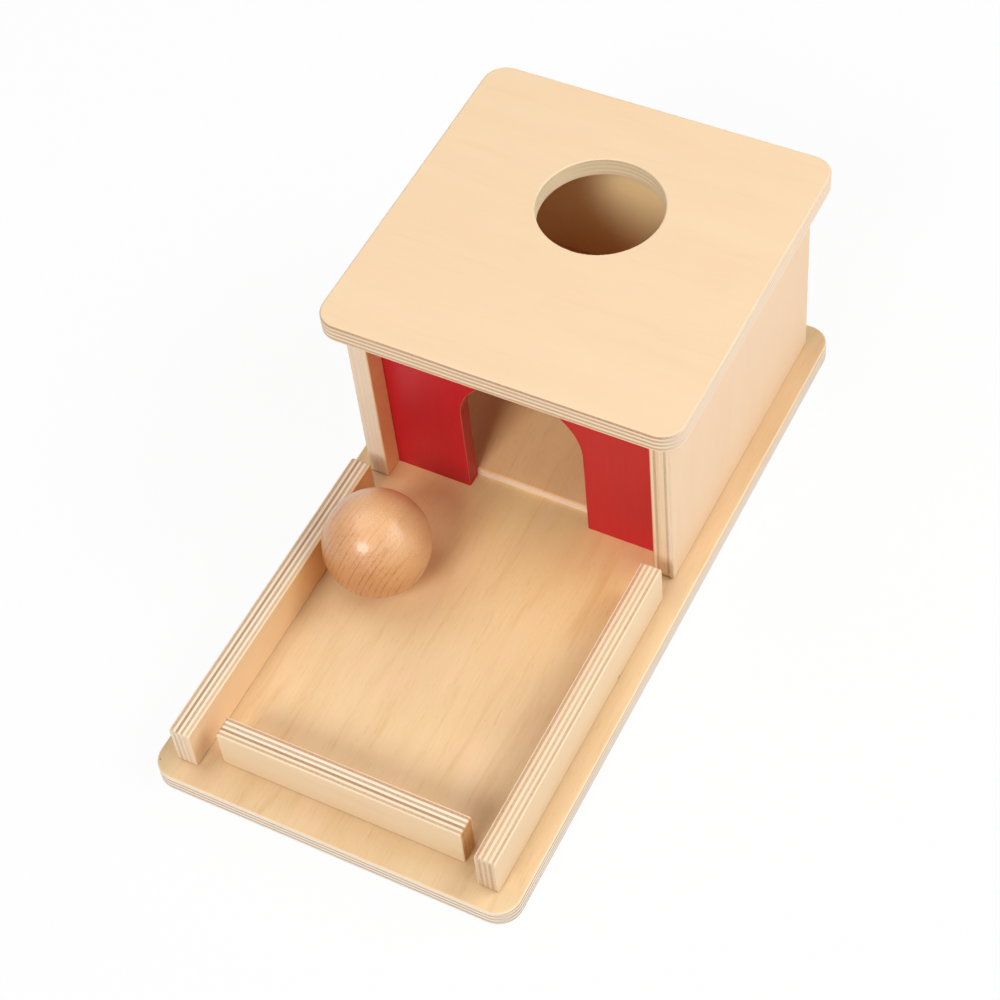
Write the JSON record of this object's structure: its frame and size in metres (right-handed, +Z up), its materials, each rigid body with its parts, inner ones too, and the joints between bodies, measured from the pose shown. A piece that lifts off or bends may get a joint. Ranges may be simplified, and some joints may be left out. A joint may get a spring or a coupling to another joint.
{
  "type": "object permanence box",
  "caption": "Plywood box with a round hole in its top, a red arched doorway and a railed tray, where a dropped ball rolls down a hidden ramp and comes back into view.",
  "frame": {"origin": "middle of the base board's underside, on the surface that the box stands on", "axes": "+Z up, +Y from the tray to the box, +X to the right when facing the arch"},
  "size_m": [0.1596, 0.315, 0.1125],
  "materials": {
    "plywood": "clear satin lacquer on pale plywood, layered edges showing",
    "red_paint": "satin red paint on plywood",
    "beech": "turned beech, clear satin lacquer",
    "steel": "zinc-plated countersunk wood screws"
  },
  "bodies": {
    "box": {"base_board": "plywood", "left_wall": "plywood", "right_wall": "plywood", "back_wall": "plywood", "front_panel": "red_paint", "top_board": "plywood", "ramp": "plywood", "ramp_block": "plywood", "left_rail": "plywood", "right_rail": "plywood", "front_rail": "plywood", "rail_screws": "steel", "wall_screws": "steel", "panel_screws": "steel", "top_dowels": "beech", "back_dowels": "beech"},
    "ball": {"ball": "beech"}
  },
  "joints": [
    {"name": "ball_roll", "type": "slide", "parent": "box", "child": "ball", "axis": [0, 1, 0], "range_m": [-0.0725, 0.033]}
  ]
}
